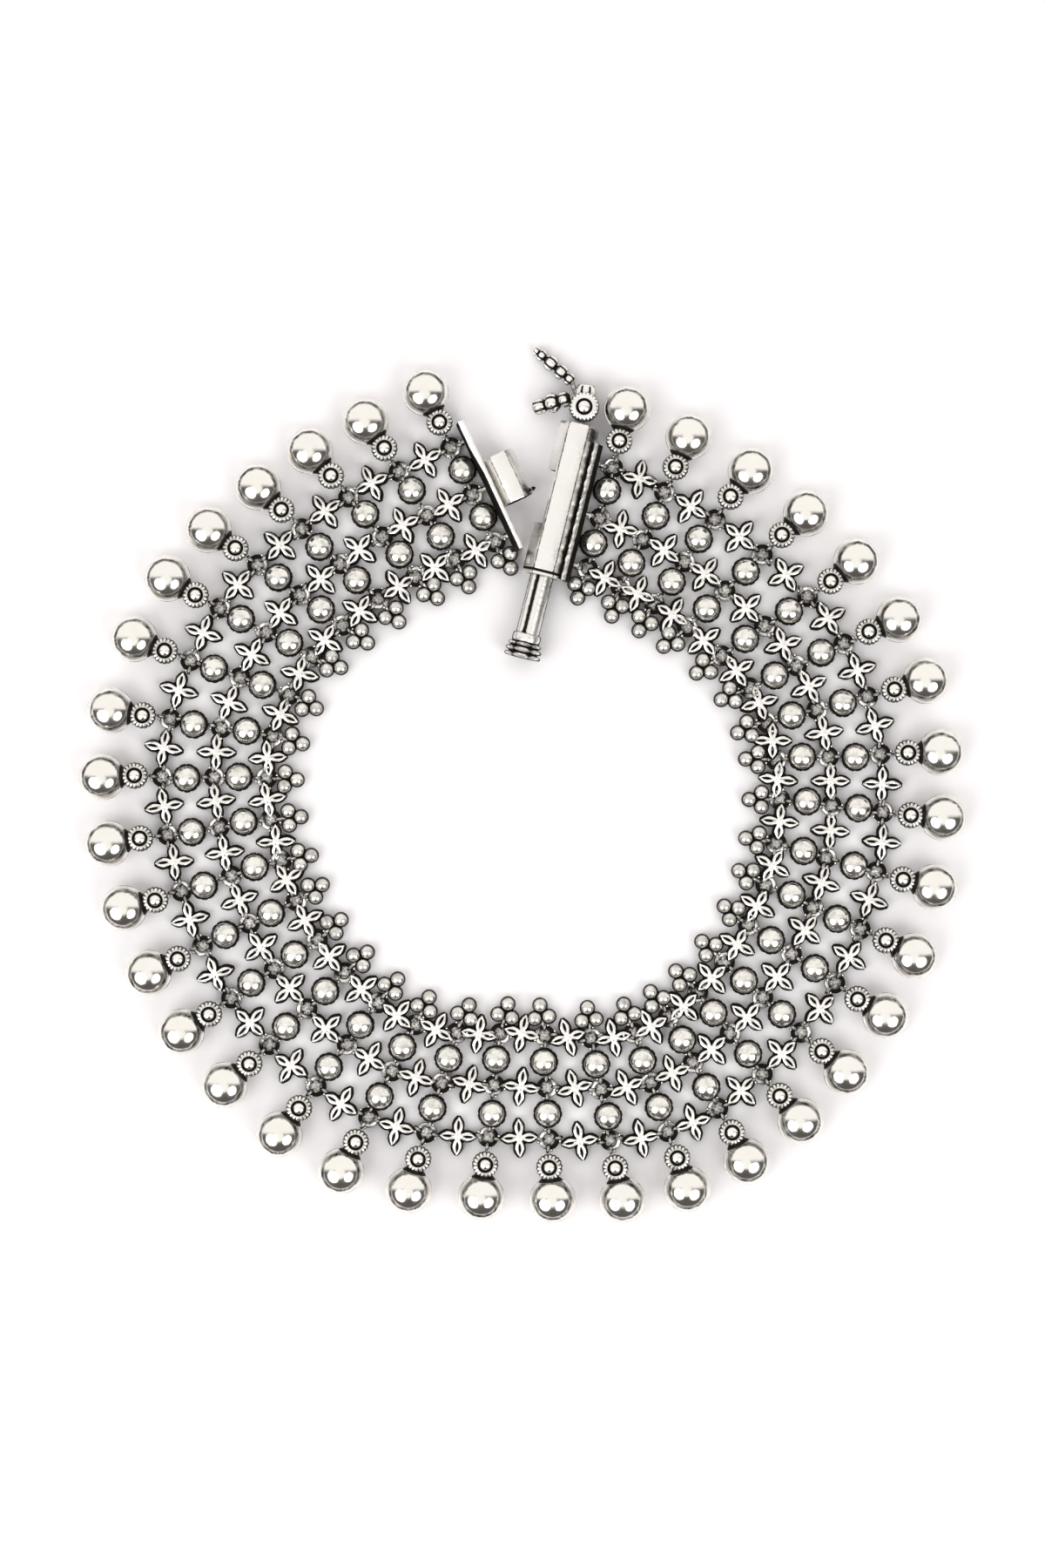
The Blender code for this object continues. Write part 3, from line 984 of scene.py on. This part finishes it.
def makePlate(side, beads, rubbed, broad, wall):
    # The bar that stands beside a column. Rubbed is how far its hammered top edge breaks up
    # into bright dashes, from 0 for none, broad is how much wider its outer end is, and wall
    # is how dark its barrel side is, painted shade in the narrow gap by the barrel.
    shape = newShape()
    half = clasp["plateLength"] / 2
    thick = clasp["plateThick"] / 2
    high = clasp["plateHigh"]
    outlines = []
    for x in steps(-half, half, 120):
        wander = 2.2 * noise.noise(Vector((x * 0.35, side * 5, 0)))
        dash = math.sin(2 * math.pi * (x + half) / clasp["plateLength"] * beads + wander)
        dash = dash * rubbed + 0.8 * noise.noise(Vector((x * 0.8, side * 3, 0)))
        crest = smoothStep(-0.9, 0.5, dash + 1 - rubbed)
        swell = 0.12 * dash
        broader = broad * smoothStep(1.5, 6.5, x)
        # y away from the beads, height, tarnish: a black wall and ledge, patina and painted shade,
        # slope up to a bright crest
        outline = [
            (-thick, 0.0, 1.0),
            (thick, 0.0, wall),
            (thick + 0.02, high - 1.1, wall),
            (thick, high - 0.5, 0.5 - 0.4 * crest),
            (0.36 + swell, high - 0.08 + 0.3 * swell, 0.4 - 0.4 * crest),
            (0.1 + 0.5 * swell, high + 0.1, 0.45 - 0.45 * crest),
            (-0.14 + 0.3 * swell - broader, high - 0.05, 0.6 - 0.45 * crest),
            (-0.28 - broader, high - 0.5, 1.0),
            (-0.5 - 0.5 * broader, high - 1.4, 1.0),
            (-clasp["plateLedge"], high - 2.3, 1.0),
            (-clasp["plateLedge"], 0.35, 1.0),
        ]
        across = clasp["plateAcross"]
        outlines.append([(x, side * (across + y), z, tarnishAndShade) for y, z, tarnishAndShade in outline])
    addBar(shape, outlines)
    radius, stretch, wire, away, stainAndShade = clasp["hook"]
    for row in (-1, 0, 1):
        spot = shift(row * band["rowPitch"], side * away * mm, ring["height"] * mm) @ turn(90, "Y")
        sweep(shape, circle(radius, 14, stretch), wire, 7, stainAndShade, spot)
    return finished(shape)


def makeTube():
    length, flats, inside = clasp["tubeLength"], clasp["tubeFlats"], clasp["tubeInside"]
    half = length / 2
    wall = half - clasp["endWall"]
    shape = newShape()
    outer = [(x - half, flats + more, tarnishAndShade) for x, more, tarnishAndShade in clasp["mouth"]]
    outer += [(x, flats, 0.0) for x in steps(-half + 0.95, half - 0.5, 30)]
    outer += [(x + half, wide, tarnishAndShade) for x, wide, tarnishAndShade in clasp["closedEnd"]]
    inner = [(wall, 0, 1.0), (wall, inside, 1.0)]
    inner += [(x, inside, 1.0) for x in steps(half - 1, -half + 0.6, 12)]
    inner += [(-half + 0.05, inside + 0.05, 0.8), (-half, inside + 0.2, 0.3)]
    addBarrel(shape, inner + outer, wobble=0.05, seed=5, lines=0.68)
    mesh = finished(shape)
    window = clasp["windowLength"] / 2
    tall = clasp["windowHigh"] / 2
    mesh = applyCut(mesh, ((-window, 0, -tall), (window, flats, tall)))

    def shaded(vert, old):
        # The cut leaves its new vertices bright, also those inside the tube
        y, z = vert.co.yz / mm
        inwards = math.hypot(y, z) < acrossCorners(inside) / 2 - 0.05 and abs(z) < flats / 2 - 0.2
        return 0.8 if inwards and old < 0.05 and abs(y) < 2 else old

    repaint(mesh, shaded)
    mesh.transform(tubeFrame)
    # the plate's side by the tube is dark with painted shade
    plate = makePlate(1, beads=9, rubbed=1.0, broad=0.0, wall=0.9)
    plate.transform(columnFrame(band["columns"] - 1))
    whole = joinMeshes([mesh, plate])
    makePiece("tube", whole, claspSilver, "band", ["clasp_tube"], 30)


def makeKnuckle():
    flats = clasp["knuckleFlats"]
    half = clasp["knuckleLength"] / 2
    bore = 2 * clasp["bore"]
    shape = newShape()
    outer = [(-half, flats - 0.1, 0.1)]
    outer += [(x, flats, 0.0) for x in steps(-half + 0.15, half - 0.15, 12)]
    outer += [(half, flats - 0.1, 0.1)]
    inner = [(x, bore, 1.0) for x in steps(half, -half, 6)]
    rings = addBarrel(shape, outer + inner, wobble=0.08, seed=9, lines=0.6)
    bridge(shape, [rings[-1], rings[0]])
    corner = shift((-half + 0.6) * mm, -acrossCorners(flats) / 2 * mm, 0.3 * mm)
    lathe(shape, clasp["spur"], 8, corner @ turn(100, "X"))
    mesh = finished(shape)
    mesh.transform(knuckleFrame)
    plate = makePlate(-1, beads=6, rubbed=0.25, broad=0.35, wall=0.2)
    plate.transform(columnFrame(0))
    whole = joinMeshes([mesh, plate])
    makePiece("knuckle", whole, claspSilver, "band", ["clasp_knuckle"], 30)


# The pin: rolled sheet with its seam on top, a plain collar and a ribbed head

pin = {
    "radius": 1.65,
    "length": 21.55,
    "drawnOut": 8.0,
    "fromTube": 0.3,
    "seamAt": math.radians(68),
    "seamWide": 0.23,
    "head": [
        (0, -3.5, 0.3), (1.6, -3.5, 0.2), (2.5, -3.42, 0.0), (2.7, -3.2, 0.0),
        (2.55, -2.98, 0.3), (2.15, -2.85, 1.0), (2.15, -2.72, 1.0), (2.5, -2.6, 0.2),
        (2.66, -2.38, 0.0), (2.5, -2.14, 0.3), (2.15, -2.0, 1.0), (2.1, -1.88, 1.0),
        (2.35, -1.75, 0.2), (2.45, -1.56, 0.0), (2.3, -1.4, 0.5), (1.95, -1.3, 0.9),
        (1.98, -1.0, 0.1), (2.02, -0.6, 0.0), (1.98, -0.15, 0.1), (1.8, 0.0, 0.6),
        (0, 0.0, 0.6),
    ],
    "ribbedRows": range(2, 15),
    "ribs": 6,
    "ribsFrom": 0.6,
    "bevel": 0.3,
    "sides": (0.1, 0.72, 0.8),
}


def headRipple(number, angle):
    if number in pin["ribbedRows"]:
        notch = wave(pin["ribs"] * angle + pin["ribsFrom"], 3)
        return -0.3 * notch, 0.6 * notch
    return 0, 0


def seamRipple(number, angle):
    gap = abs((angle - pin["seamAt"] + math.pi) % (2 * math.pi) - math.pi)
    groove = math.exp(-((gap / pin["seamWide"]) ** 2))
    return -0.32 * groove, groove


def makePin():
    # The lathe's X, Y and Z become the pin's Y, Z and X
    shape = newShape()
    axis = Matrix(((0, 0, 1, 0), (1, 0, 0, 0), (0, 1, 0, 0), (0, 0, 0, 1)))
    radius, length, bevel = pin["radius"], pin["length"], pin["bevel"]
    rows = [(0, -bevel, 0.5), (radius, -bevel, 0.4)]
    rows += [(radius, x, 0.0) for x in steps(bevel, length - bevel, 10)]
    rows += [(radius - 0.2, length, 0.3), (0, length, 0.6)]
    lathe(shape, rows, 72, axis, seamRipple)
    lathe(shape, pin["head"], 48, axis, headRipple)
    mesh = finished(shape)
    start = clasp["tubeLength"] / 2 + pin["fromTube"] + pin["drawnOut"]
    mesh.transform(tubeFrame @ shift(-start * mm))
    shadeAndDullSides(mesh, pin["sides"])
    makePiece("pin_shaft", mesh, claspSilver, "pin", ["clasp_pin"], 40)
    print("clasp made")


# The rosette past the tube's end, a fluted crown above it, and two beaded drops

drops = {
    "rosetteRadius": 2.15,
    "notches": 22,
    "lobes": 5,
    "rosette": [
        (0, -1.7, 1.0), (1.7, -1.7, 1.0), (2.0, -1.4, 0.6), (2.05, -0.9, 0.4),
        (1.75, -0.5, 1.0), (1.75, -0.1, 1.0), (2.1, 0.2, 0.4), (2.15, 0.7, 0.1),
        (2.1, 1.15, 0.0), (1.95, 1.5, 0.0), (1.65, 1.66, 0.0), (1.2, 1.64, 0.0),
        (1.1, 1.4, 0.8), (1.04, 1.15, 1.0), (0.88, 1.15, 1.0), (0.83, 1.4, 0.8),
        (0.78, 1.66, 0.0), (0.55, 1.84, 0.0), (0.25, 1.93, 0.0), (0, 1.95, 0.0),
    ],
    "milledRows": range(6, 11),
    "grainedRows": range(2, 4),
    "grains": 14,
    "crown": [
        (0, 0.9, 1.0), (1.3, 0.9, 0.8), (1.45, 1.6, 0.1), (1.48, 2.3, 0.0), (1.38, 2.85, 0.0),
        (1.1, 3.15, 0.1), (0.7, 3.25, 0.8), (0, 3.25, 1.0),
    ],
    "crownRows": range(1, 5),
    "crownFlutes": 7,
    "crownFacing": 84,
    "crownLower": 0.6,
    "rosetteSides": (0.1, 0.7, 0.85),
    "dropSides": (0.0, 0.6, 0.85),
    # the wire of the hook: its radius and tarnish
    "hook": (0.32, 0.5),
    # leaves is the side of the rosette that the drop hangs on, facing the way that it lies
    # and slope how steeply it goes down, all in degrees
    "hanging": {
        "long_drop": {
            "leaves": 95,
            "facing": 139,
            "slope": 3,
            "length": 8.9,
            "radius": 1.2,
            "hook": [(0, -0.5, -0.4), (0, 0.5, -0.1), (0, 0.85, 0.6), (0, 0.4, 1.3), (0, 0, 1.95)],
            "outline": [
                (0, 1.9, 1.0), (0.5, 1.9, 0.8), (0.85, 2.1, 0.2), (0.95, 2.5, 0.0),
                (0.8, 2.85, 0.4), (0.45, 3.0, 1.0), (0.45, 3.3, 1.0), (0.95, 3.45, 0.2),
                (1.12, 3.9, 0.0), (1.05, 4.4, 0.1), (0.75, 4.65, 0.6), (0.45, 4.8, 1.0),
                (0.45, 5.1, 1.0), (0.95, 5.25, 0.2), (1.15, 5.8, 0.0), (1.0, 6.4, 0.1),
                (0.7, 6.6, 0.6), (0.42, 6.75, 1.0), (0.42, 7.05, 1.0), (0.75, 7.2, 0.2),
                (0.88, 7.55, 0.0), (0.8, 7.9, 0.2), (0.4, 8.05, 1.0), (0.4, 8.2, 1.0),
                (0.6, 8.3, 0.1), (0.62, 8.7, 0.0), (0.35, 8.9, 0.1), (0, 8.9, 0.2),
            ],
        },
        "short_drop": {
            "leaves": 150,
            "facing": 194,
            "slope": 24,
            "length": 5.4,
            "radius": 1.45,
            "hook": None,
            "outline": [
                (0, 0.0, 1.0), (0.85, 0.05, 0.6), (1.12, 0.4, 0.0), (1.12, 0.9, 0.0),
                (0.9, 1.25, 0.4), (0.68, 1.4, 1.0), (0.72, 1.62, 1.0), (1.15, 1.85, 0.1),
                (1.42, 2.3, 0.0), (1.42, 2.75, 0.0), (1.15, 3.2, 0.1), (0.75, 3.42, 0.9),
                (0.68, 3.6, 1.0), (0.95, 3.8, 0.3), (1.1, 4.2, 0.0), (1.1, 4.75, 0.0),
                (1.0, 5.15, 0.1), (0.88, 5.35, 0.0), (0.7, 5.35, 0.3), (0.6, 5.1, 1.0),
                (0.55, 4.7, 1.0), (0.3, 4.7, 0.7), (0, 4.75, 0.6),
            ],
        },
    },
}


def rosetteRipple(number, angle):
    if number in drops["milledRows"]:
        notch = wave(drops["notches"] * angle, 3)
        fade = 1.0 if number < drops["milledRows"][-1] else 0.5
        return -0.12 * notch * fade, 0.75 * notch * fade
    if number in drops["grainedRows"]:
        grain = wave(drops["grains"] * angle)
        return -0.2 * grain, 0.5 * grain
    return 0, 0


def dropRipple(number, angle):
    lobe = wave(drops["lobes"] * angle, 3)
    return -0.16 * lobe, 0.8 * lobe


def crownRipple(number, angle):
    if number in drops["crownRows"]:
        flute = wave(drops["crownFlutes"] * angle, 4)
        return -0.25 * flute, flute
    return 0, 0


def makeDrops():
    along = clasp["tubeLength"] / 2 + pin["fromTube"] + drops["rosetteRadius"]
    x, y, z = (tubeFrame @ shift(along * mm)).translation
    shape = newShape()
    lathe(shape, drops["rosette"], 4 * drops["notches"], ripple=rosetteRipple)
    facing = turn(drops["crownFacing"], "Z") @ shift(0, 0, -drops["crownLower"] * mm)
    lathe(shape, drops["crown"], 66, facing @ turn(90, "Y"), crownRipple)
    mesh = finished(shape, drops["rosetteSides"])
    mesh.transform(shift(x, y, z))
    makePiece("rosette", mesh, oxidised, "band", ["drop_rosette"])
    wire, stainAndShade = drops["hook"]
    for name, drop in drops["hanging"].items():
        shape = newShape()
        lathe(shape, drop["outline"], 42, ripple=dropRipple)
        if drop["hook"]:
            sweep(shape, drop["hook"], wire, 8, stainAndShade, up=(1, 0, 0), closed=False)
        mesh = finished(shape)
        slope, leaves = drop["slope"], drop["leaves"]
        height = drop["radius"] * mm + drop["length"] * mm * math.sin(math.radians(slope))
        start = shift(x, y, height) @ turn(leaves, "Z")
        start = start @ shift((drops["rosetteRadius"] + pin["fromTube"]) * mm)
        mesh.transform(start @ turn(drop["facing"] - leaves, "Z") @ turn(90 + slope, "Y"))
        shadeAndDullSides(mesh, drops["dropSides"])
        makePiece(f"{name}_beads", mesh, oxidised, "band", [name])
    print("drops made")


makeBells()
for name, chain in chains.items():
    makeChain(name, chain["hangs"], chain["row"])
makeTube()
makeKnuckle()
makePin()
makeDrops()
print("triangles:", sum(counted.values()), "most in one piece:", max(counted.values()))

# The studio: a pale floor, a cream cloth overhead and another behind, and two round softboxes
# at the front

studio = {
    "floor": 6.0,
    "floorColours": ((0.9, 0.885, 0.905), (0.92, 0.905, 0.925)),
    "lens": 100.0,
    "sensor": 36,
    # the picture's width on the floor in metres, and its height by its width
    "frameWidth": 0.147,
    "picture": 1.5,
    # name, place, diameter, power and colour
    "lamps": [
        ("leftBox", (-0.46, -0.33, 0.56), 0.7, 3.6, (1.0, 0.995, 0.98)),
        ("rightBox", (0.42, -0.36, 0.575), 0.6, 2.7, (1.0, 0.995, 0.985)),
    ],
    # two cloths, each with the direction of its middle and how near to that a direction
    # is at the cloth's soft edge and where it is whole
    "cloths": [
        ((0, 1, 0), (-0.06, 0.2)),
        ((-0.08, -0.1, 0.99), (0.87, 0.96)),
    ],
    "cloth": (1.0, 0.977, 0.945),
    "room": (0.095, 0.086, 0.082),
    "horizon": (0.93, 0.92, 0.92),
    "brightness": 1.08,
}


def makeFloor():
    size = studio["floor"] / 2
    work = bmesh.new()
    bmesh.ops.create_grid(work, x_segments=4, y_segments=4, size=size)
    mesh = bpy.data.meshes.new("floor")
    work.to_mesh(mesh)
    work.free()
    floor = bpy.data.objects.new("floor", mesh)
    bpy.context.scene.collection.objects.link(floor)
    material = bpy.data.materials.new("paleFloor")
    material.use_nodes = True
    tree = material.node_tree
    shader = tree.nodes["Principled BSDF"]
    shader.inputs["Roughness"].default_value = 0.7
    shader.inputs["Specular IOR Level"].default_value = 0.2
    place = addNode(tree, "TexCoord").outputs["Object"]
    colour = mixNode(tree, noiseNode(tree, place, 30.0), *studio["floorColours"])
    tree.links.new(colour, shader.inputs["Base Color"])
    floor.data.materials.append(material)


def makeLamps():
    for name, place, size, power, colour in studio["lamps"]:
        light = bpy.data.lights.new(name, "AREA")
        light.shape = "DISK"
        light.size = size
        light.energy = power
        light.color = colour
        lamp = bpy.data.objects.new(name, light)
        lamp.location = place
        lamp.rotation_euler = (-Vector(place)).to_track_quat("-Z", "Y").to_euler()
        lamp.visible_camera = False
        bpy.context.scene.collection.objects.link(lamp)


def makeSky():
    world = bpy.data.worlds.new("studio")
    world.use_nodes = True
    tree = world.node_tree
    aim = addNode(tree, "TexCoord").outputs["Generated"]
    reaches = []
    for middle, (low, high) in studio["cloths"]:
        near = addNode(tree, "VectorMath", operation="DOT_PRODUCT")
        near.inputs[1].default_value = middle
        tree.links.new(aim, near.inputs[0])
        reaches.append(rangeNode(tree, near.outputs["Value"], low, high))
    covered = mathNode(tree, "MAXIMUM", *reaches)
    around = mixNode(tree, covered, studio["room"], studio["cloth"])
    # a low view past the floor's edge sees a plain pale backdrop
    direct = addNode(tree, "LightPath").outputs["Is Camera Ray"]
    seen = mixNode(tree, direct, around, studio["horizon"])
    background = tree.nodes["Background"]
    background.inputs["Strength"].default_value = studio["brightness"]
    tree.links.new(seen, background.inputs["Color"])
    bpy.context.scene.world = world


def makeCamera():
    # Straight down; the sensor's long side is the picture's height
    eye = bpy.data.cameras.new("camera")
    eye.sensor_width = studio["sensor"]
    eye.lens = studio["lens"]
    distance = studio["frameWidth"] * studio["picture"] / studio["sensor"] * studio["lens"]
    camera = bpy.data.objects.new("camera", eye)
    camera.location = (0, 0, distance)
    eye.clip_start, eye.clip_end = 0.01, 10
    bpy.context.scene.collection.objects.link(camera)
    bpy.context.scene.camera = camera


makeFloor()
makeLamps()
makeSky()
makeCamera()
settings = bpy.context.scene.view_settings
settings.view_transform = "Standard"
settings.look = "None"
print("studio ready")
